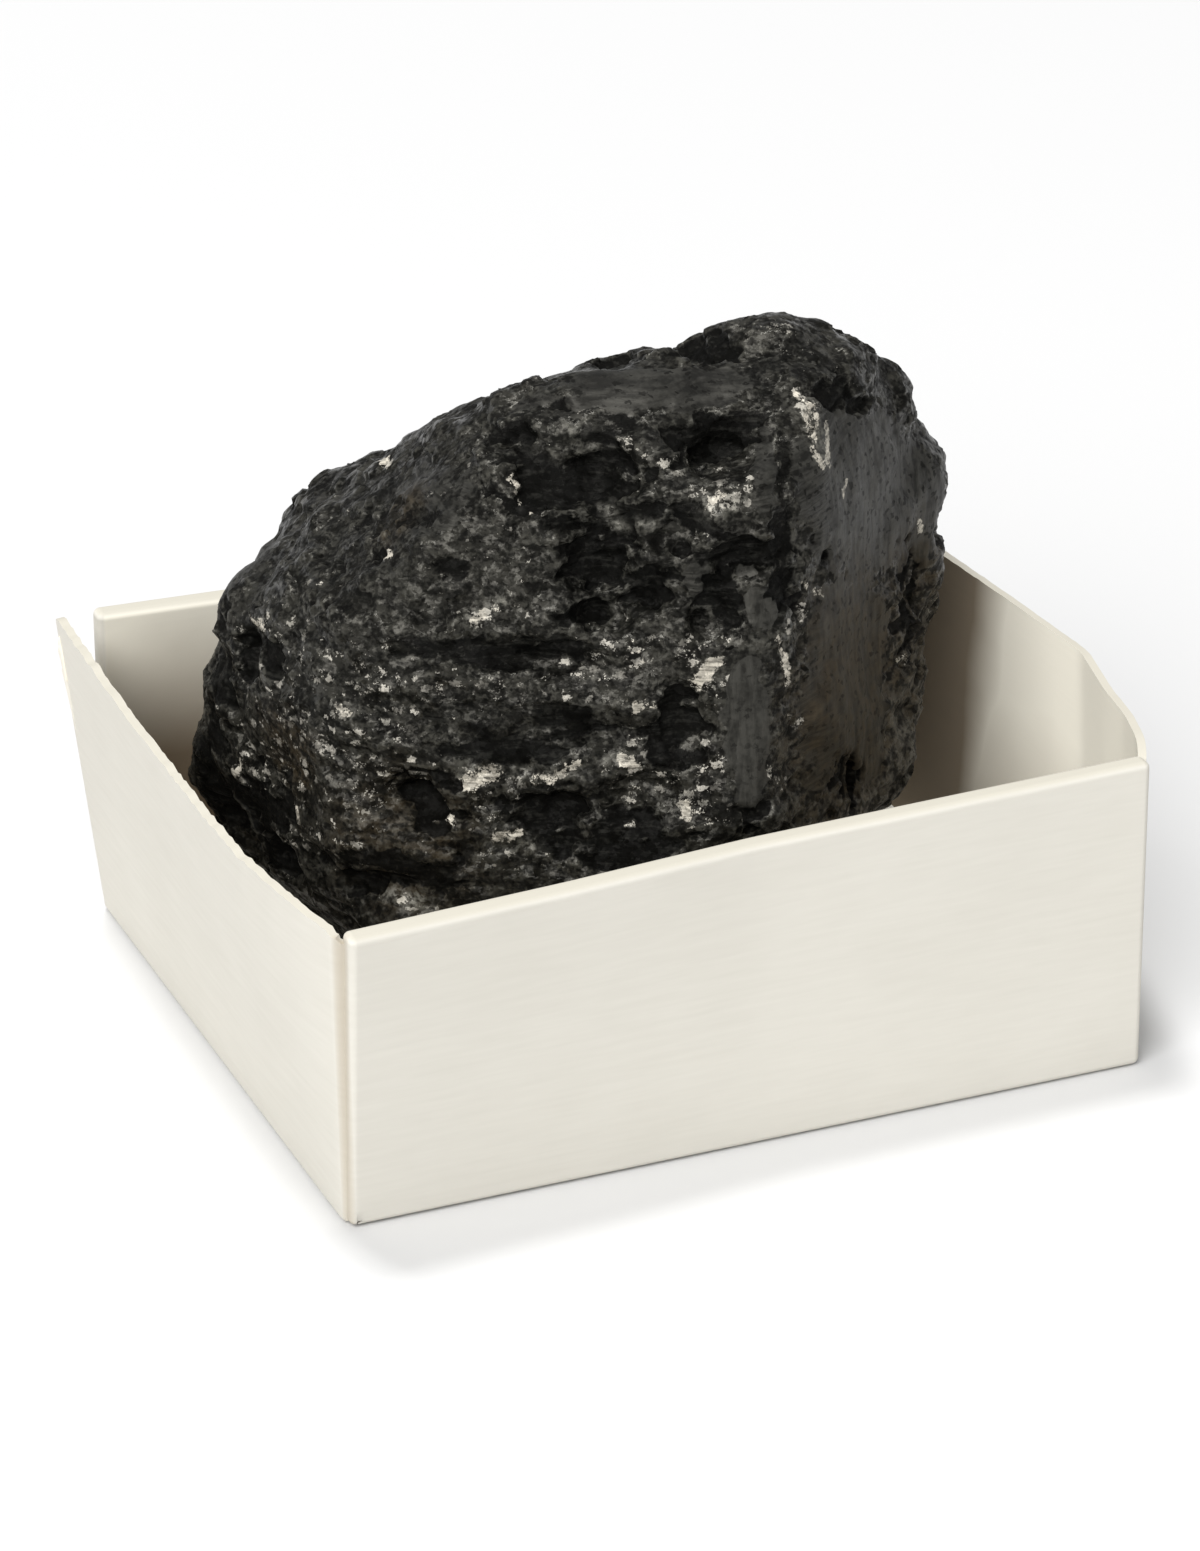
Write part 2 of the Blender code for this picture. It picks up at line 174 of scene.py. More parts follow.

# Painted glints on bright chips, clusters of small painted glints, and grey painted highlights on ridges: two
# ends of a streak, radius in pixels, strength
PAINTED_GLINT_CHIPS = {
    "right cluster, chip": ((706, 504), (722, 496), 4, 0.7),
    "gold streak, a": ((796, 392), (803, 400), 4, 0.6),
    "gold streak, b": ((808, 404), (808, 432), 3.5, 0.62),
    "gold streak, c": ((817, 408), (816, 440), 4, 0.66),
    "gold streak, d": ((826, 425), (828, 462), 5, 0.72),
    "gold streak, e": ((815, 452), (822, 463), 4.5, 0.8),
    "thin streak": ((846, 480), (842, 497), 3, 0.8),
    "bright corner": ((700, 682), (714, 664), 8, 1.0),
    "bright middle, line": ((632, 640), (644, 660), 3, 0.7),
    "white lines": ((616, 698), (640, 710), 3, 1.0),
    "white lines, right": ((634, 706), (664, 704), 3, 0.8),
    "arris, middle": ((780, 636), (783, 652), 4, 0.9),
    "arris, middle, low": ((785, 656), (788, 682), 4.5, 0.95),
    "low chip": ((624, 758), (636, 770), 6, 0.9),
    "low chip, right": ((682, 802), (688, 816), 6, 0.8),
    "long low chip": ((556, 778), (578, 762), 5, 0.75),
    "cream chip": ((470, 782), (492, 774), 9, 0.85),
    "between the chips": ((534, 780), (546, 776), 5, 0.6),
    "right edge gold": ((918, 522), (921, 530), 5, 0.8),
    "right edge": ((898, 660), (908, 660), 4, 0.5),
    "right face light": ((804, 586), (822, 592), 4, 0.5),
    "rim glint": ((384, 460), (391, 464), 5, 0.9),
    "left square": ((382, 553), (391, 556), 5, 0.8),
    "curved line": ((511, 478), (526, 512), 4, 0.8),
    "yellow cluster, chips": ((474, 622), (494, 608), 5, 0.6),
    "pit rim, top": ((251, 622), (266, 628), 5, 0.7),
    "left flecks, b": ((337, 709), (345, 712), 5, 0.9),
    "left chip": ((232, 778), (241, 766), 5, 0.9),
    "left chip, low": ((251, 783), (260, 791), 4, 0.8),
    "low left chip": ((294, 810), (298, 820), 5, 0.9),
    "slot streak, left": ((430, 802), (440, 816), 3, 0.9),
    "slot streak, right": ((444, 812), (452, 822), 4, 0.8),
    "cream plate": ((492, 838), (518, 834), 4, 0.9),
}
# Clusters of painted glints: bright spots that stand in for facets flashing
PAINTED_GLINT_CLUSTERS = {
    "crest arc, rim": ((570, 418), (592, 411), 3, 0.9),
    "crest arc, right": ((612, 425), (628, 446), 9, 0.6),
    "small white": ((645, 458), (650, 476), 4, 0.8),
    "fork": ((604, 499), (626, 528), 8, 0.7),
    "right cluster": ((705, 503), (738, 492), 13, 1.0),
    "right cluster, low": ((688, 515), (708, 538), 9, 0.8),
    "gold streak, flecks": ((802, 398), (824, 455), 12, 0.8),
    "top knob": ((768, 328), (786, 332), 9, 0.8),
    "top knob, right": ((802, 334), (806, 342), 5, 0.9),
    "bright corner, upper": ((686, 636), (692, 652), 6, 0.8),
    "bright corner, round": ((690, 650), (716, 684), 16, 0.8),
    "bright middle": ((620, 648), (644, 662), 9, 1.0),
    "arris, high": ((790, 630), (804, 610), 6, 0.9),
    "arris, foot, left": ((770, 770), (784, 790), 7, 0.8),
    "arris, low": ((788, 716), (800, 728), 6, 0.9),
    "arris, foot": ((776, 774), (786, 788), 6, 0.8),
    "left of the strip": ((706, 742), (724, 766), 10, 0.6),
    "low speckles": ((618, 780), (640, 792), 9, 0.8),
    "upper left glint": ((432, 490), (446, 488), 5, 0.9),
    "curved line, foot": ((526, 500), (540, 516), 5, 0.6),
    "short line": ((534, 432), (549, 442), 4, 0.7),
    "ledge line": ((464, 549), (504, 530), 5, 0.6),
    "yellow cluster": ((468, 616), (496, 612), 8, 0.9),
    "pit rim, right": ((262, 648), (279, 660), 6, 0.9),
    "pit rim, far": ((278, 640), (290, 642), 4, 0.8),
    "pit rim, left": ((238, 628), (244, 640), 6, 0.6),
    "shoulder fleck": ((324, 652), (340, 654), 5, 0.9),
    "row, left": ((366, 676), (392, 684), 9, 0.7),
    "row, right": ((400, 676), (436, 678), 9, 0.7),
    "row, end": ((452, 684), (500, 690), 12, 0.5),
    "left flecks, a": ((290, 722), (306, 728), 8, 0.9),
    "left flecks, c": ((274, 742), (290, 746), 8, 0.8),
    "left flecks, d": ((326, 750), (352, 768), 12, 0.8),
    "left flecks, e": ((390, 734), (402, 740), 7, 0.8),
    "left flecks, f": ((246, 696), (256, 704), 7, 0.6),
    "left flecks, g": ((238, 724), (246, 732), 6, 0.7),
    "low left speckles": ((342, 786), (366, 812), 12, 0.7),
    "plate speckles": ((486, 854), (514, 862), 7, 0.9),
    "foot plate, flecks": ((400, 900), (434, 905), 6, 0.7),
    "fine lines": ((530, 700), (562, 716), 4, 0.8),
    "low speckles, right": ((690, 820), (700, 832), 8, 0.6),
    "low speckles, left": ((530, 800), (548, 806), 8, 0.6),
    "left foot flecks": ((262, 842), (292, 872), 9, 0.6),
    "under the slot": ((470, 828), (500, 820), 8, 0.5),
    "left face, broad": ((270, 640), (400, 720), 85, 0.22),
    "low front, broad": ((450, 800), (620, 800), 50, 0.2),
    "upper left, broad": ((330, 540), (480, 450), 50, 0.08),
    "middle, broad": ((480, 570), (600, 640), 50, 0.16),
    "right of the middle, broad": ((610, 690), (690, 780), 50, 0.18),
    "knob, broad": ((780, 345), (850, 385), 45, 0.18),
    "row": ((360, 668), (560, 692), 18, 0.5),
    "left field": ((245, 700), (370, 735), 34, 0.48),
    "left field, low": ((240, 755), (372, 785), 30, 0.46),
    "left field, foot": ((268, 826), (360, 858), 24, 0.5),
    "under the middle band": ((420, 770), (520, 790), 20, 0.4),
    "between the row and the strip": ((560, 668), (700, 650), 22, 0.4),
    "low right field": ((640, 770), (724, 800), 26, 0.45),
    "upper right field": ((640, 470), (760, 480), 26, 0.3),
    "low left, broad": ((270, 780), (390, 850), 60, 0.2),
}
# Grey painted highlights on ridges, plates and round the glint clusters
PAINTED_GREY_HIGHLIGHTS = {
    "crest arc": ((571, 424), (599, 420), 9, 0.4),
    "fork, grey": ((606, 505), (622, 530), 7, 0.9),
    "ridge over the left middle": ((590, 545), (628, 552), 4, 0.8),
    "ridge between the middle hollows": ((596, 596), (640, 566), 3, 0.8),
    "ridge under the right cluster": ((640, 520), (690, 548), 4, 0.8),
    "right cluster, grey": ((704, 512), (742, 494), 12, 0.6),
    "yellow cluster, grey": ((470, 618), (510, 600), 8, 0.7),
    "upper ridge": ((548, 455), (612, 450), 4, 0.5),
    "arris ridge": ((786, 640), (792, 600), 6, 0.6),
    "low ridge": ((455, 775), (620, 762), 5, 0.6),
    "gold streak, grey": ((804, 402), (823, 455), 15, 0.7),
    "grey plate": ((524, 852), (536, 843), 7, 0.9),
    "foot plate, left": ((345, 884), (388, 894), 6, 0.9),
    "foot plate, right": ((402, 898), (432, 902), 8, 1.0),
}

# Round patches on the other sides: middle and radius in mm, strength
FAR_SMOOTH = {
    "back": ((-1.0, 17.0, 22.0), 7.5, 0.9),
    "back right": ((19.0, 9.0, 20.0), 5.0, 0.7),
    "top, behind": ((-6.0, 8.0, 36.0), 4.5, 0.6),
    "left, behind": ((-19.0, 11.0, 24.0), 4.5, 0.7),
}
# These hollows are painted near-black as shade too
FAR_HOLLOWS = {
    "back, high": ((2.0, 15.0, 33.0), 2.6, 0.9),
    "back, left": ((-12.0, 15.0, 26.0), 2.4, 0.9),
    "back, low": ((-4.0, 18.0, 13.0), 3.0, 0.9),
    "back, right": ((12.0, 15.0, 14.0), 2.6, 0.9),
    "right side": ((21.0, 2.0, 16.0), 2.4, 0.8),
    "left side": ((-22.0, 8.0, 13.0), 2.4, 0.8),
}
# Painted glints on the other sides
FAR_PAINTED_GLINTS = {
    "back ridge": ((-6.0, 17.0, 28.0), 3.4, 0.7),
    "back corner": ((16.0, 10.0, 26.0), 3.4, 0.7),
    "back middle": ((6.0, 18.0, 20.0), 3.0, 0.6),
    "back left corner": ((-17.0, 13.0, 18.0), 3.4, 0.7),
    "right side": ((22.0, 0.0, 20.0), 2.6, 0.6),
}


solid_form = bmesh.new()
solid_form.from_mesh(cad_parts["coal_lump"].data)
solid_tree = BVHTree.FromBMesh(solid_form)
solid_form.free()
LENS_REACH = PIXELS_PER_MM * CAMERA_DISTANCE / MM     # pixels, from the lens to its picture


def seen_at(across, down):
    """Place in mm where the camera's ray through a pixel of its picture meets the frame's lump."""
    ray = (forward + rolled_level * ((across - FRAME_WIDTH / 2) / LENS_REACH)
           + rolled_up * ((FRAME_HEIGHT / 2 - down) / LENS_REACH))
    place = solid_tree.ray_cast(camera_place, ray)[0]
    return tuple(round(value / MM, PLACE_DIGITS) for value in place)


def seen_ovals(patches):
    """Ovals on the solid: middle, half width and half height in mm, strength."""
    return {
        name: (seen_at((left + right) / 2, (top + bottom) / 2),
               round((right - left) / 2 / MARK_SCALE, 1), round((bottom - top) / 2 / MARK_SCALE, 1), strength)
        for name, (left, right, top, bottom, strength) in patches.items()}


def seen_streaks(patches):
    """Streaks on the solid: two ends and radius in mm, strength."""
    return {
        name: (seen_at(*start), seen_at(*end), round(radius / MARK_SCALE, 2), strength)
        for name, (start, end, radius, strength) in patches.items()}


def ragged(points, amount, size):
    """Points shifted by slow noise, so that a patch measured with them has a torn border."""
    return points + amount * np.array([noise.noise_vector(Vector(point) / size) for point in points])


def inside(reach, softness):
    """1 where the reach is well under 1, 0 where it is well over, with a border of the given softness."""
    return np.clip((1.0 + softness / 2 - reach) / softness, 0.0, 1.0)


def ovals(points, patches, softness, tear=0.0):
    """Strongest share of a group of ovals seen square to the view: full inside, none outside. A tear moves
    the border in and out at each point."""
    strongest = np.zeros(len(points))
    for middle, half_width, half_height, strength in patches.values():
        away = points - np.array(middle)
        across, up = away @ np.array(level_axis), away @ np.array(up_axis)
        reach = np.hypot(across / half_width, up / half_height) + tear
        near = np.abs(away @ np.array(depth_axis)) < half_width + OVAL_REACH
        strongest = np.maximum(strongest, strength * near * inside(reach, softness))
    return strongest


def rounds(points, patches, softness):
    """Strongest share of a group of balls."""
    strongest = np.zeros(len(points))
    for middle, radius, strength in patches.values():
        reach = np.sqrt(((points - np.array(middle)) ** 2).sum(axis=1)) / radius
        strongest = np.maximum(strongest, strength * inside(reach, softness))
    return strongest


def streaks(points, patches, softness, taper=0.0):
    """Strongest share of a group of streaks between two ends. A taper narrows both ends by its share."""
    strongest = np.zeros(len(points))
    for start, end, radius, strength in patches.values():
        start, along = np.array(start), np.array(end) - np.array(start)
        share = np.clip((points - start) @ along / max(along @ along, 1e-6), 0.0, 1.0)
        reach = np.sqrt(((points - start - share[:, None] * along) ** 2).sum(axis=1)) / radius
        reach /= 1.0 - taper * np.abs(2.0 * share - 1.0) ** 2
        strongest = np.maximum(strongest, strength * inside(reach, softness))
    return strongest


def chips(points, cell, seed):
    """Height of flat tilted chips, one to each cell of a pattern, from about -1 to 1."""
    shift = Vector((seed * 11.7, seed * 3.9, seed * 7.1))
    heights = np.empty(len(points))
    for index, point in enumerate(points / np.array(cell)):
        place = Vector(point) + shift
        middle = noise.voronoi(place)[1][0]
        lean = noise.cell_vector(middle) * 2.0 - Vector((1.0, 1.0, 1.0))
        heights[index] = lean.dot(place - middle) * 1.6 + 0.5 * lean.x
    return heights


def neighbour_mean(values, edges, count):
    """Mean of each point's neighbours on the mesh."""
    ends = np.concatenate([edges[:, 1], edges[:, 0]])
    starts = np.concatenate([edges[:, 0], edges[:, 1]])
    number = np.bincount(starts, minlength=count)[:, None]
    sums = np.stack(
        [np.bincount(starts, weights=values[ends, axis], minlength=count) for axis in range(3)], axis=1)
    return sums / np.maximum(number, 1)


def smoothed(points, edges, times, share=1.0):
    """Points after each one has moved towards its neighbours' mean by a share, a number of times."""
    share = np.reshape(share, (-1, 1)) if np.ndim(share) else share
    moved = points.copy()
    for _ in range(times):
        moved += 0.6 * share * (neighbour_mean(moved, edges, len(moved)) - moved)
    return moved


def normals_of(mesh):
    normals = np.empty(len(mesh.vertices) * 3, np.float32)
    mesh.vertex_normals.foreach_get("vector", normals)
    return normals.reshape(-1, 3).astype(float)


def coordinates(mesh):
    places = np.empty(len(mesh.vertices) * 3, np.float32)
    mesh.vertices.foreach_get("co", places)
    return places.reshape(-1, 3).astype(float)


def remeshed_lump():
    """Even skin of small faces over the solid of the frame."""
    solid = bmesh.new()
    solid.from_mesh(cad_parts["coal_lump"].data)
    bmesh.ops.remove_doubles(solid, verts=solid.verts, dist=0.001 * MM)
    mesh = bpy.data.meshes.new("coal_lump_solid")
    solid.to_mesh(mesh)
    solid.free()
    lump = bpy.data.objects.new("broken_coal", mesh)
    bpy.context.scene.collection.objects.link(lump)
    skin = lump.modifiers.new("skin", "REMESH")
    skin.mode = "VOXEL"
    skin.voxel_size = SKIN_STEP
    even = bpy.data.meshes.new_from_object(lump.evaluated_get(bpy.context.evaluated_depsgraph_get()))
    lump.modifiers.clear()
    lump.data = even
    bpy.data.meshes.remove(mesh)
    return lump


level_axis, up_axis, depth_axis = level, upward, forward
across_axis = Vector((-level.y, level.x, 0.0))


def turned_to_bedding(points):
    """Points along the level streaks, across them and up."""
    return np.stack([points @ np.array(level_axis), points @ np.array(across_axis), points[:, 2]], axis=1)


def waves(points, frequencies):
    """Smooth noise with its own frequency, in waves per mm, along each bedding direction."""
    return np.array([noise.fractal(Vector(point), 0.7, 2.0, 3) for point in points * np.array(frequencies)])


coal_lump = remeshed_lump()
skin = coal_lump.data
edges = np.empty(len(skin.edges) * 2, np.int32)
skin.edges.foreach_get("vertices", edges)
edges = edges.reshape(-1, 2)
places = smoothed(coordinates(skin) / MM, edges, SKIN_PASSES)
skin.vertices.foreach_set("co", (places * MM).ravel())
facing = np.clip(-normals_of(skin) @ np.array(depth_axis) * 4.0, 0.0, 1.0)

# Bedding runs level, so hollows are torn along it, and chips are longer along it than across it
turned = turned_to_bedding(places)
tear = waves(turned, (0.36, 0.55, 0.95))
smooth_share = np.maximum(
    ovals(ragged(places, 0.5, 1.6), seen_ovals(SMOOTH_FACES), 0.45, 0.25 * tear) * facing,
    rounds(ragged(places, 0.6, 2.0), FAR_SMOOTH, 0.6))
strip_points = ragged(ragged(places, 0.7, 1.3), 0.2, 0.4)
strip_share = streaks(strip_points, seen_streaks(SMOOTH_STRIPS), 0.3, 0.5)
hollow_share = np.maximum(
    ovals(ragged(places, 0.45, 0.8), seen_ovals(DARK_HOLLOWS), 0.4, 1.05 * tear - 0.10) * facing,
    rounds(ragged(places, 0.8, 1.2), FAR_HOLLOWS, 0.5))
smooth_share = np.maximum(smooth_share * (1.0 - hollow_share), strip_share)
hollow_share *= 1.0 - strip_share
places = smoothed(places, edges, SKIN_PASSES, smooth_share)
skin.vertices.foreach_set("co", (places * MM).ravel())
outward = normals_of(skin)

turned = turned_to_bedding(places)
chip_height = 0.125 * chips(turned, (2.6, 1.9, 1.1), 1) + 0.045 * chips(turned, (1.1, 0.9, 0.6), 2)
height = (1.0 - 0.85 * smooth_share) * chip_height
height += 0.03 * waves(turned, (0.4, 0.5, 2.2)) * (0.4 + 0.6 * hollow_share) - HOLLOW_DEPTH * hollow_share
places = places + outward * height[:, None]
places[:, 2] = np.minimum(places[:, 2], cad_box[1][2] / MM - TOP_MARGIN)
skin.vertices.foreach_set("co", (places * MM).ravel())
skin.update()

outward = normals_of(skin)
# Depth below the slow form, which the finish paints darker as shade in recesses
slow = smoothed(places, edges, SLOW_PASSES)
depth = ((slow - places) * outward).sum(axis=1)
# Height over the neighbours, which the finish paints lighter on crests as highlights
crest = ((places - neighbour_mean(places, edges, len(places))) * outward).sum(axis=1)
# Masks for painted light: glints on chips (kept in the chips attribute), glint clusters and grey highlights
painted_chip_glint_share = streaks(ragged(places, 0.25, 0.35), seen_streaks(PAINTED_GLINT_CHIPS), 0.8)
painted_glint_share = np.maximum(
    streaks(ragged(places, 0.4, 0.8), seen_streaks(PAINTED_GLINT_CLUSTERS), 1.6), rounds(places, FAR_PAINTED_GLINTS, 1.0))
painted_grey_highlight_share = streaks(ragged(places, 0.3, 0.5), seen_streaks(PAINTED_GREY_HIGHLIGHTS), 0.9)
upright = np.maximum(ovals(places, {"right face": ((14.5, -7.5, 27.0), 5.5, 13.0, 1.0)}, 0.5), strip_share)
brown = rounds(ragged(places, 0.8, 2.5), {
    "right face, low": ((10.5, -11.0, 22.0), 7.5, 1.0),
    "right face, behind": ((17.5, -4.0, 22.0), 6.0, 0.8),
    "low left": ((-17.0, -9.0, 17.5), 4.0, 0.6),
    "left middle": ((-20.8, -1.5, 20.4), 2.6, 0.7),
    "upper left": ((-14.4, -1.0, 34.2), 2.0, 0.6),
}, 0.8)
for name, values in {"smooth": smooth_share, "hollow": hollow_share, "depth": depth, "crest": crest,
                     "chips": painted_chip_glint_share, "flecks": painted_glint_share, "brown": brown, "upright": upright,
                     "strips": strip_share, "grey": painted_grey_highlight_share}.items():
    skin.attributes.new(name, "FLOAT", "POINT").data.foreach_set("value", values.astype(np.float32))
for face in skin.polygons:
    face.use_smooth = True
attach(coal_lump, "root")
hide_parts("coal_lump")

# ---------------------------------------------------------------- coal lump: finish
# Bright coal breaks with a glassy lustre: near-black, with grey sheen on the smooth faces, hollows painted
# near-black as shade, lighter painted highlights on ridges, a brown clay film low down, and splinters painted
# white as glints.


class Value:
    """A socket of a material. Arithmetic on it adds Math nodes, and node() adds any other node."""

    def __init__(self, tree, socket=None):
        self.tree = tree
        self.socket = socket

    def node(self, kind, settings=None, inputs=None, output=0):
        made = self.tree.nodes.new(kind)
        for name, setting in (settings or {}).items():
            if name == "stops":
                while len(made.color_ramp.elements) < len(setting):
                    made.color_ramp.elements.new(0.5)
                for element, (position, colour) in zip(made.color_ramp.elements, setting):
                    element.position = position
                    element.color = colour
            else:
                setattr(made, name, setting)
        for name, value in (inputs or {}).items():
            if isinstance(value, Value):
                self.tree.links.new(value.socket, made.inputs[name])
            else:
                made.inputs[name].default_value = value
        return Value(self.tree, made.outputs[output] if len(made.outputs) else None)

    def math(self, operation, *others):
        values = dict(enumerate((self,) + others))
        return self.node("ShaderNodeMath", {"operation": operation}, values)

    def __add__(self, other):
        return self.math("ADD", other)

    __radd__ = __add__

    def __sub__(self, other):
        return self.math("SUBTRACT", other)

    def __rsub__(self, other):
        return self * -1.0 + other

    def __mul__(self, other):
        return self.math("MULTIPLY", other)

    __rmul__ = __mul__

    def __truediv__(self, other):
        return self.math("DIVIDE", other)

    def __pow__(self, other):
        return self.math("POWER", other)

    def rise(self, low, high):
        """0 below low, 1 above high, and an even slope between them."""
        return self.node("ShaderNodeMapRange", {"clamp": True}, {
            "Value": self, "From Min": low, "From Max": high})

    def most(self, other):
        return self.math("MAXIMUM", other)

    def tint(self, colour, other):
        """From one colour to another by this share."""
        return self.node("ShaderNodeMix", {"data_type": "RGBA"}, {0: self, 6: colour, 7: other}, 2)


def new_finish(name):
    """A material with an empty node tree, and a Value to build on."""
    finish = bpy.data.materials.new(name)
    finish.use_nodes = True
    finish.node_tree.nodes.clear()
    return finish, Value(finish.node_tree)


coal_finish, coal = new_finish("broken_coal")
place = coal.node("ShaderNodeMapping", {}, {
    "Vector": coal.node("ShaderNodeTexCoord", output="Object"), "Scale": (1000.0, 1000.0, 1000.0)})
bedded = coal.node("ShaderNodeMapping", {}, {"Vector": place, "Rotation": (0.0, 0.0, CAMERA_AZIMUTH)})


def attribute(name):
    return coal.node("ShaderNodeAttribute", {"attribute_name": name}, {}, "Fac")


def stretched(at, scale):
    return coal.node("ShaderNodeMapping", {}, {"Vector": at, "Scale": scale})


def speckle(at, scale, detail=2.0):
    return coal.node("ShaderNodeTexNoise", {}, {"Vector": at, "Scale": scale, "Detail": detail}, 0)


def cells(at, scale, output):
    return coal.node("ShaderNodeTexVoronoi", {}, {"Vector": at, "Scale": scale}, output)


def cell_chance(at, scale):
    """One random number from 0 to 1 for each cell."""
    return coal.node("ShaderNodeSeparateColor", {}, {0: cells(at, scale, "Color")}, 0)


def vector_math(operation, first, second):
    return coal.node("ShaderNodeVectorMath", {"operation": operation}, {0: first, 1: second})


smooth, hollow, depth_in, upright, strip = (
    attribute(name) for name in ("smooth", "hollow", "depth", "upright", "strips"))
crest_out, painted_chip_glint, painted_glint_area, grey, film = (
    attribute(name) for name in ("crest", "chips", "flecks", "grey", "brown"))
mottle = speckle(place, 0.45, 3.0)
grain = speckle(place, 3.0, 4.0)
patches = speckle(stretched(bedded, (0.7, 0.9, 1.6)), 1.0, 4.0)
torn = (grain - 0.5) * 0.5 + (patches - 0.5) * 1.1
sheen = (smooth + torn * 0.7).rise(0.36, 0.52)
pit = (hollow + torn).rise(0.30, 0.52)
rough = 1.0 - sheen * 0.85
level_streaks = speckle(stretched(bedded, (0.45, 0.6, 4.5)), 1.0, 4.0)
upright_streaks = speckle(stretched(bedded, (2.6, 1.4, 0.4)), 1.0, 4.0)
streak = (level_streaks * (1.0 - upright) + upright_streaks * upright).rise(0.38, 0.62)
warp = vector_math("MULTIPLY", vector_math("SUBTRACT", coal.node(
    "ShaderNodeTexNoise", {}, {"Vector": place, "Scale": 3.0}, "Color"), (0.5, 0.5, 0.5)), (0.5, 0.5, 0.5))
warped = vector_math("ADD", stretched(bedded, (0.8, 1.0, 1.3)), warp)

torn_cells = vector_math("ADD", warped, vector_math("MULTIPLY", vector_math("SUBTRACT", coal.node(
    "ShaderNodeTexNoise", {}, {"Vector": place, "Scale": 7.0}, "Color"), (0.5, 0.5, 0.5)), (0.7, 0.7, 0.5)))

# Painted glints: small broken chips of two sizes in loose clumps, each with its own size and brightness,
# painted light where facets would flash
clumps = speckle(place, 1.1, 2.0).rise(0.42, 0.62)


def scattered(scale, density):
    """Separate chips, one in the middle of a cell, in a share of the cells given by the density."""
    size = (density - cell_chance(torn_cells, scale)).rise(0.0, 0.12)
    return (size * (0.34 + 0.36 * grain) - cells(torn_cells, scale, "Distance")).rise(0.0, 0.09)


small_chance = cell_chance(torn_cells, 3.6)
large_painted_glints = scattered(1.6, painted_glint_area * (0.5 + 0.45 * clumps) + 0.008)
small_painted_glints = scattered(3.6, painted_glint_area * (0.2 + 0.4 * clumps) + 0.03)
tone = coal.node("ShaderNodeSeparateColor", {}, {0: cells(torn_cells, 1.6, "Color")}, 1)
small_tone = coal.node("ShaderNodeSeparateColor", {}, {0: cells(torn_cells, 3.6, "Color")}, 1)
flecks = (large_painted_glints * (0.2 + 0.8 * tone) * (0.5 + 0.5 * small_chance)).most(
    small_painted_glints * (0.12 + 0.6 * small_tone))
flecks = flecks * (1.0 - sheen) * (1.0 - pit * 0.85)
# Painted glints on the bright chips, broken into cells of different brightness
painted_chip_glints = (painted_chip_glint + (grain - 0.5) * 0.6 + (small_chance - 0.5) * 0.6).rise(0.44, 0.56)
# Painted highlights: a lighter band round the rims of hollows and on convex crests
painted_rim_highlights = (0.16 - (hollow + torn - 0.3).math("ABSOLUTE")).rise(0.0, 0.1) * hollow.math("GREATER_THAN", 0.05)
painted_ridge_highlights = crest_out.rise(0.015, 0.05).most(painted_rim_highlights * 0.8) * (1.0 - sheen) * grain.rise(0.40, 0.58)
lines = (level_streaks * 0.6 + grain * 0.4).rise(0.53, 0.66) * pit
shade = (patches * 0.55 + grain * 0.45).rise(0.54, 0.44) * (1.0 - sheen)

# Painted glitter: a few small cells painted lighter, where facets would flash
painted_glitter = cell_chance(vector_math("ADD", warped, (31.0, 17.0, 5.0)), 4.5).rise(0.7, 1.0) ** 2.0
# Broken plates: each keeps its own tone, under the grain
plate_tone = cell_chance(warped, 0.75) * 0.5 + cell_chance(warped, 1.7) * 0.5
body = (mottle * 0.2 + grain * 0.25 + plate_tone * 0.55).rise(0.3, 0.7).tint(
    (0.003, 0.003, 0.0025, 1.0), (0.024, 0.023, 0.019, 1.0))
body = (painted_glitter * rough * 0.35).tint(body, (0.13, 0.126, 0.11, 1.0))
specks = cell_chance(warped, 3.4).rise(0.86, 0.96) * 0.5
face = ((streak - 0.5) * (1.0 + upright * 0.3 - strip * 0.5) + (grain - 0.5) * 1.6
        + (mottle - 0.5) * 1.2 + 0.46 + strip * 0.2 - specks).tint(
    (0.004, 0.004, 0.0035, 1.0), (0.034, 0.033, 0.029, 1.0))
body = sheen.tint(body, face)
brown_film = (grain * 0.5 + streak * 0.5).tint((0.013, 0.009, 0.005, 1.0), (0.062, 0.044, 0.022, 1.0))
body = (film * (0.45 + 0.55 * patches.rise(0.38, 0.6))).tint(body, brown_film)
# Painted highlights on crests and hollow rims, then on the grey ridges and plates
body = (painted_ridge_highlights * 0.22).tint(body, (0.13, 0.125, 0.105, 1.0))
body = (grey * grain.rise(0.40, 0.56) * (0.6 * small_chance + 0.4 * tone)).tint(
    body, (0.20, 0.193, 0.165, 1.0))
# Painted glints in a cream colour, then the painted glints on chips
body = flecks.tint(body, (0.62, 0.585, 0.51, 1.0))
painted_chip_glint_tone = (small_tone * 0.4 + tone * 0.3 + level_streaks.rise(0.4, 0.6) * 0.45 - 0.1).rise(0.0, 0.9)
body = painted_chip_glints.tint(body, painted_chip_glint_tone.tint((0.05, 0.046, 0.038, 1.0), (0.70, 0.65, 0.55, 1.0)))
bright = flecks.most(painted_chip_glints)
roughness = 0.22 + 0.2 * grain + 0.18 * sheen + 0.2 * film

geometry_normal = coal.node("ShaderNodeNewGeometry", output="Normal")


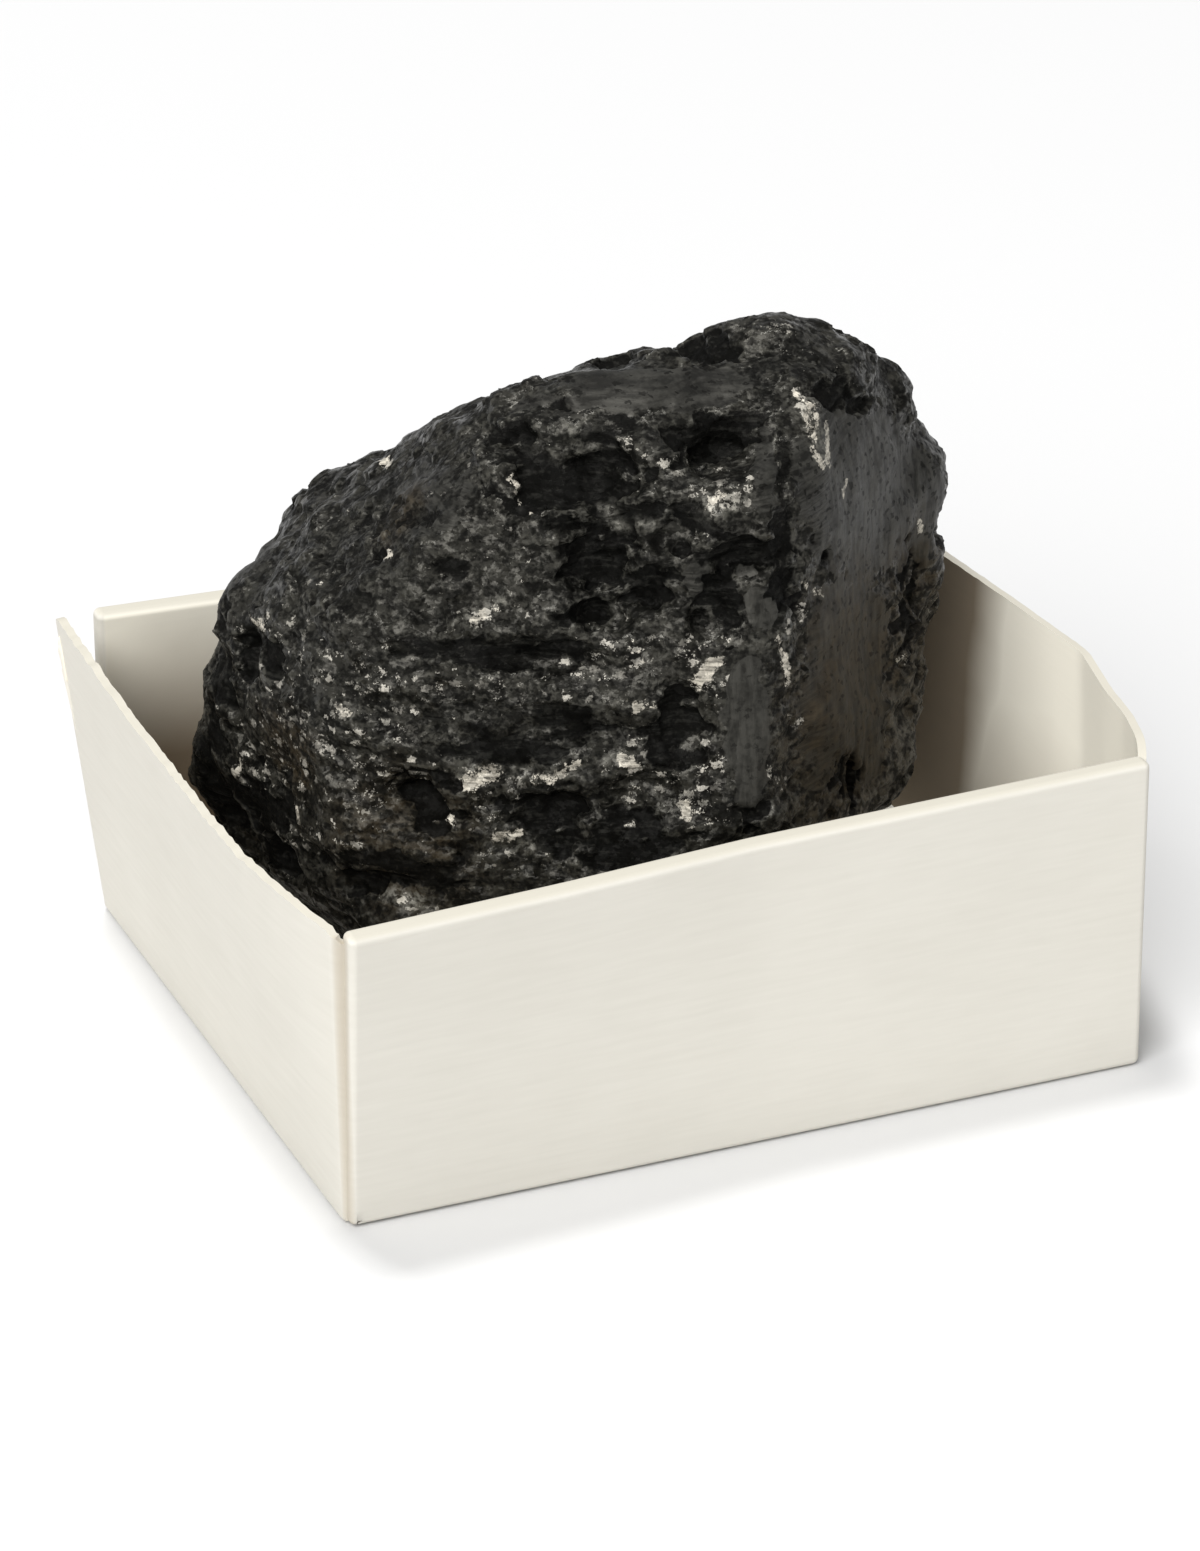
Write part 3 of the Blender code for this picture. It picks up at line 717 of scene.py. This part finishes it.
def facet_tilt(scale, amount):
    """Sideways lean of the small flat facets, one lean for each cell."""
    lean = vector_math("SUBTRACT", cells(warped, scale, "Color"), (0.5, 0.5, 0.5))
    amounts = coal.node("ShaderNodeCombineXYZ", {}, {0: amount, 1: amount, 2: amount})
    return vector_math("MULTIPLY", lean, amounts)


tilted = vector_math("ADD", vector_math("ADD", geometry_normal, facet_tilt(1.1, rough * 0.6)),
                     facet_tilt(3.2, rough * 0.45))
facet_normal = coal.node("ShaderNodeVectorMath", {"operation": "NORMALIZE"}, {0: tilted})
relief = (grain * rough * 0.5 + streak * sheen * 0.35
          + level_streaks * (1.0 - pit) * 0.2 + upright_streaks * film * 0.5)
bumped = coal.node("ShaderNodeBump", {}, {
    "Strength": 0.5, "Distance": 0.12 * MM, "Height": relief, "Normal": facet_normal})

glossy = coal.node("ShaderNodeBsdfPrincipled", {}, {
    "Base Color": body, "Roughness": roughness, "IOR": 1.5, "Specular IOR Level": 0.36,
    "Specular Tint": (1.0, 0.96, 0.85, 1.0), "Normal": bumped})
# Near-black dull finish, mixed in as painted shade in hollows and recesses, and in dull patches
painted_shade_and_dull_black = coal.node("ShaderNodeBsdfPrincipled", {}, {
    "Base Color": lines.tint((0.0025, 0.0024, 0.002, 1.0), (0.018, 0.0175, 0.015, 1.0)),
    "Roughness": 0.7, "Specular IOR Level": 0.06, "Normal": bumped})
# Painted shade: recesses and hollows go near-black, with dull patches and a share of the smooth faces;
# painted glints and grey highlights stay out
painted_shade_and_dull_share = (depth_in.rise(0.12, 0.5) * 0.8).most(pit).most(shade * 0.82)
painted_shade_and_dull_share = painted_shade_and_dull_share.most((0.1 + specks) * sheen * (1.0 - strip * 0.8)) * (1.0 - bright) * (1.0 - grey * 0.7)
coal.node("ShaderNodeOutputMaterial", {}, {
    "Surface": coal.node("ShaderNodeMixShader", {}, {0: painted_shade_and_dull_share * 0.95, 1: glossy, 2: painted_shade_and_dull_black})})
coal_lump.data.materials.clear()
coal_lump.data.materials.append(coal_finish)

# ---------------------------------------------------------------- card tray: walls and floor
# One sheet of off-white card about half a millimetre thick. The front and back are folded over into
# hems, and the sides are single walls whose ends turn the corners as tabs and run into the hems.
CARD = 0.5            # mm, one layer
HEM = 1.4             # mm, two layers over a tab
ROWS = 36             # rows of faces up a wall
COLUMN = 0.45         # mm, width of a column of faces


def along_sheet(stations):
    """Foot and rim points at even steps along a sheet, with the corners and creases slightly rounded."""
    foot, rim = [], []
    for (foot_a, rim_a), (foot_b, rim_b) in zip(stations[:-1], stations[1:]):
        foot_a, foot_b, rim_a, rim_b = Vector(foot_a), Vector(foot_b), Vector(rim_a), Vector(rim_b)
        steps = max(1, round((rim_b - rim_a).length / COLUMN))
        foot += [foot_a.lerp(foot_b, step / steps) for step in range(steps)]
        rim += [rim_a.lerp(rim_b, step / steps) for step in range(steps)]
    foot.append(Vector(stations[-1][0]))
    rim.append(Vector(stations[-1][1]))
    for line in (foot, rim):
        for _ in range(2):
            line[1:-1] = [(before + 2 * here + after) / 4 for before, here, after in
                          zip(line[:-2], line[1:-1], line[2:])]
    return foot, rim


def sheet(name, stations, thickness, ragged=0.0):
    """An upright sheet of card. Its outer face runs from the foot line to the rim line of its stations,
    and a cut rim is ragged."""
    foot, rim = along_sheet(stations)
    grid = bmesh.new()
    bmesh.ops.create_grid(grid, x_segments=len(foot) - 1, y_segments=ROWS, size=0.5)
    for vertex in grid.verts:
        column = round((vertex.co.x + 0.5) * (len(foot) - 1))
        up = vertex.co.y + 0.5
        place = foot[column].lerp(rim[column], up)
        torn = noise.noise(rim[column] * 2.3) + 0.6 * noise.noise(rim[column] * 6.1)
        place.z += ragged * torn * up ** 8
        vertex.co = place * MM
    mesh = bpy.data.meshes.new(name)
    grid.to_mesh(mesh)
    grid.free()
    for face in mesh.polygons:
        face.use_smooth = True
    wall = bpy.data.objects.new(name, mesh)
    bpy.context.scene.collection.objects.link(wall)
    solid = wall.modifiers.new("thickness", "SOLIDIFY")
    solid.thickness = thickness * MM
    solid.offset = -1.0
    fold = wall.modifiers.new("edges", "BEVEL")
    fold.width = (0.44 * thickness if thickness == HEM else 0.07) * MM
    fold.segments = 6 if thickness == HEM else 1
    fold.limit_method = "ANGLE"
    fold.angle_limit = math.radians(50)
    fold.harden_normals = True
    return wall


front_hem = sheet("tray_front_hem", [
    ((-24.9, -20.5, 0.1), (-25.8, -22.9, 20.0)),
    ((-12.0, -20.5, 0.1), (-12.2, -22.05, 20.0)),
    ((0.0, -20.5, 0.1), (-0.4, -20.98, 20.0)),
    ((24.9, -20.5, 0.1), (24.8, -20.12, 20.0))], HEM)
back_hem = sheet("tray_back_hem", [
    ((24.9, 20.5, 0.1), (24.4, 20.3, 20.0)),
    ((8.0, 20.5, 0.1), (8.0, 19.9, 20.0)),
    ((-8.5, 20.5, 0.1), (-8.5, 20.0, 20.0)),
    ((-24.9, 20.5, 0.1), (-25.35, 20.55, 20.3))], HEM)
left_wall = sheet("tray_left_wall", [
    ((-21.0, 20.0, 0.3), (-21.0, 19.8, 12.0)),
    ((-24.85, 20.0, 0.3), (-26.9, 20.05, 15.5)),
    ((-25.1, 19.8, 0.3), (-27.75, 20.3, 20.2)),
    ((-25.1, 14.0, 0.3), (-28.05, 14.0, 20.3)),
    ((-25.1, 8.0, 0.3), (-28.25, 8.0, 20.2)),
    ((-25.1, -6.0, 0.3), (-28.35, -6.0, 20.2)),
    ((-25.1, -11.2, 0.3), (-28.2, -11.4, 20.15)),
    ((-25.1, -14.5, 0.3), (-27.8, -15.2, 20.2)),
    ((-25.1, -17.6, 0.3), (-27.3, -18.6, 20.2)),
    ((-25.1, -19.4, 0.3), (-26.75, -20.7, 20.15)),
    ((-25.0, -20.0, 0.3), (-26.4, -21.9, 19.8)),
    ((-21.0, -20.0, 0.3), (-21.0, -21.75, 16.0))], CARD, ragged=0.17)
right_wall = sheet("tray_right_wall", [
    ((21.0, -20.0, 0.3), (21.0, -19.4, 16.0)),
    ((24.85, -20.0, 0.3), (24.7, -19.4, 19.1)),
    ((25.1, -19.6, 0.3), (25.1, -18.9, 19.65)),
    ((25.1, -18.6, 0.3), (25.7, -17.4, 20.1)),
    ((25.1, -17.2, 0.3), (26.3, -14.6, 20.2)),
    ((25.1, -15.6, 0.3), (26.6, -11.4, 20.2)),
    ((25.1, -13.6, 0.3), (27.3, -6.8, 20.4)),
    ((25.1, -2.0, 0.3), (26.4, 1.0, 20.3)),
    ((25.1, 9.0, 0.3), (25.3, 10.0, 20.1)),
    ((25.1, 19.6, 0.3), (24.6, 19.3, 19.8)),
    ((24.85, 20.0, 0.3), (24.35, 19.5, 19.2)),
    ((21.0, 20.0, 0.3), (21.0, 19.5, 16.0))], CARD, ragged=0.03)

plate = bmesh.new()
bmesh.ops.create_cube(plate, size=1.0)
bmesh.ops.scale(plate, vec=(49.7 * MM, 39.0 * MM, 0.6 * MM), verts=plate.verts)
bmesh.ops.translate(plate, vec=(0.0, 0.0, 0.3 * MM), verts=plate.verts)
floor_of_tray = bpy.data.meshes.new("tray_floor")
plate.to_mesh(floor_of_tray)
plate.free()
tray_floor = bpy.data.objects.new("tray_floor", floor_of_tray)
bpy.context.scene.collection.objects.link(tray_floor)

for piece in (front_hem, back_hem, left_wall, right_wall, tray_floor):
    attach(piece, "root")
    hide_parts("tray")

# ---------------------------------------------------------------- card tray: finish
# Uncoated off-white card with a faint level grain, painted lighter and warmer inside as bounce light, with
# painted shade on its rim tops, and a raw brown edge with painted shade where a wall turns in. Painted shade
# also darkens the inside low down, in one corner and behind the lump.
card_finish, card = new_finish("off_white_card")
card_place = card.node("ShaderNodeMapping", {}, {
    "Vector": card.node("ShaderNodeTexCoord", output="Object"), "Scale": (1000.0, 1000.0, 1000.0)})
fibres = card.node("ShaderNodeTexNoise", {}, {
    "Vector": card.node("ShaderNodeMapping", {}, {"Vector": card_place, "Scale": (0.25, 0.25, 3.0)}),
    "Scale": 1.0, "Detail": 4.0})
clouds = card.node("ShaderNodeTexNoise", {}, {"Vector": card_place, "Scale": 0.12, "Detail": 3.0})
paper = (fibres * 0.5 + clouds * 0.5).rise(0.35, 0.65).tint(
    (0.685, 0.66, 0.592, 1.0), (0.725, 0.70, 0.632, 1.0))

# Painted shade inside: darker brown low down, in the back left corner, and on the right wall behind the lump
normal = card.node("ShaderNodeNewGeometry", output="Normal")
middle_out = card.node("ShaderNodeVectorMath", {"operation": "MULTIPLY"}, {
    0: card_place, 1: (-0.04, -0.04, 0.0)})
inward = card.node("ShaderNodeVectorMath", {"operation": "DOT_PRODUCT"}, {
    0: normal, 1: middle_out}, "Value").rise(0.3, 0.7)
along, back, up = (card.node("ShaderNodeSeparateXYZ", {}, {0: card_place}, axis) for axis in range(3))
blur = clouds - 0.5
corner = card.node("ShaderNodeVectorMath", {"operation": "DISTANCE"}, {
    0: card_place, 1: (-20.0, 16.0, 6.0)}, "Value")
painted_shade = ((up + blur * 6.0).rise(15.0, 0.0) * 0.7).most((corner + blur * 3.0).rise(14.5, 5.0) * 0.92)
painted_shade = painted_shade.most((back + blur * 2.0).rise(1.0, 4.8) * along.rise(22.0, 24.0) * 0.85)
# Inside faces painted lighter and warmer than the outside: painted bounce light
paper = inward.tint(paper, (0.97, 0.925, 0.80, 1.0))
# Painted shade on the rim tops: the cut and folded edges that look up are painted a little darker than the
# faces
painted_rim_shade = card.node("ShaderNodeSeparateXYZ", {}, {0: normal}, 2).rise(0.55, 0.9) * up.rise(12.0, 14.0)
paper = (painted_rim_shade * 0.8).tint(paper, (0.58, 0.55, 0.465, 1.0))
# Brown raw edge and painted shade in the groove where the left wall turns in behind the front hem
groove_shade_and_edge = ((along + up * 0.055 + 25.0) ** 2.0 + (back + up * 0.09 + 20.15) ** 2.0).rise(0.35, 0.02)
paper = (groove_shade_and_edge * 0.5).tint(paper, (0.42, 0.35, 0.25, 1.0))
# Painted shade, dark brown, on the inside faces
paper = (inward * painted_shade).tint(paper, (0.17, 0.115, 0.062, 1.0))
card_shader = card.node("ShaderNodeBsdfPrincipled", {}, {
    "Base Color": paper, "Roughness": 0.75, "Specular IOR Level": 0.25,
    "Normal": card.node("ShaderNodeBump", {}, {"Strength": 0.15, "Distance": 0.00005, "Height": fibres})})
card.node("ShaderNodeOutputMaterial", {}, {"Surface": card_shader})
for piece in (front_hem, back_hem, left_wall, right_wall, tray_floor):
    piece.data.materials.append(card_finish)

# ---------------------------------------------------------------- floor and light
# A wide matt white table under the tray, a small strong light high behind it and a large soft one to the
# front left. They are only there for the picture, and a pale white sky fills the shadows.
sweep = bmesh.new()
bmesh.ops.create_grid(sweep, x_segments=1, y_segments=1, size=4.0)
floor_mesh = bpy.data.meshes.new("studio_table")
sweep.to_mesh(floor_mesh)
sweep.free()
studio_table = bpy.data.objects.new("studio_table", floor_mesh)
bpy.context.scene.collection.objects.link(studio_table)
table_finish, table = new_finish("white_table")
table.node("ShaderNodeOutputMaterial", {}, {"Surface": table.node("ShaderNodeBsdfPrincipled", {}, {
    "Base Color": (0.73, 0.73, 0.73, 1.0), "Roughness": 0.9, "Specular IOR Level": 0.1})})
studio_table.data.materials.append(table_finish)


def soft_light(name, azimuth, elevation, distance, size, power):
    """A square light facing the tray."""
    lamp = bpy.data.lights.new(name, "AREA")
    lamp.size = size
    lamp.energy = power
    light = bpy.data.objects.new(name, lamp)
    bpy.context.scene.collection.objects.link(light)
    a, e = math.radians(azimuth), math.radians(elevation)
    outwards = Vector((math.sin(a) * math.cos(e), -math.cos(a) * math.cos(e), math.sin(e)))
    light.location = outwards * distance
    light.rotation_euler = outwards.to_track_quat("Z", "Y").to_euler()


soft_light("overhead", -155, 79, 1.8, 0.25, 15.5)
soft_light("front_left", -46, 44, 2.0, 1.4, 40.0)
world = bpy.data.worlds.new("studio")
bpy.context.scene.world = world
world.use_nodes = True
world.node_tree.nodes["Background"].inputs["Color"].default_value = (1.0, 1.0, 1.0, 1.0)
world.node_tree.nodes["Background"].inputs["Strength"].default_value = 0.34
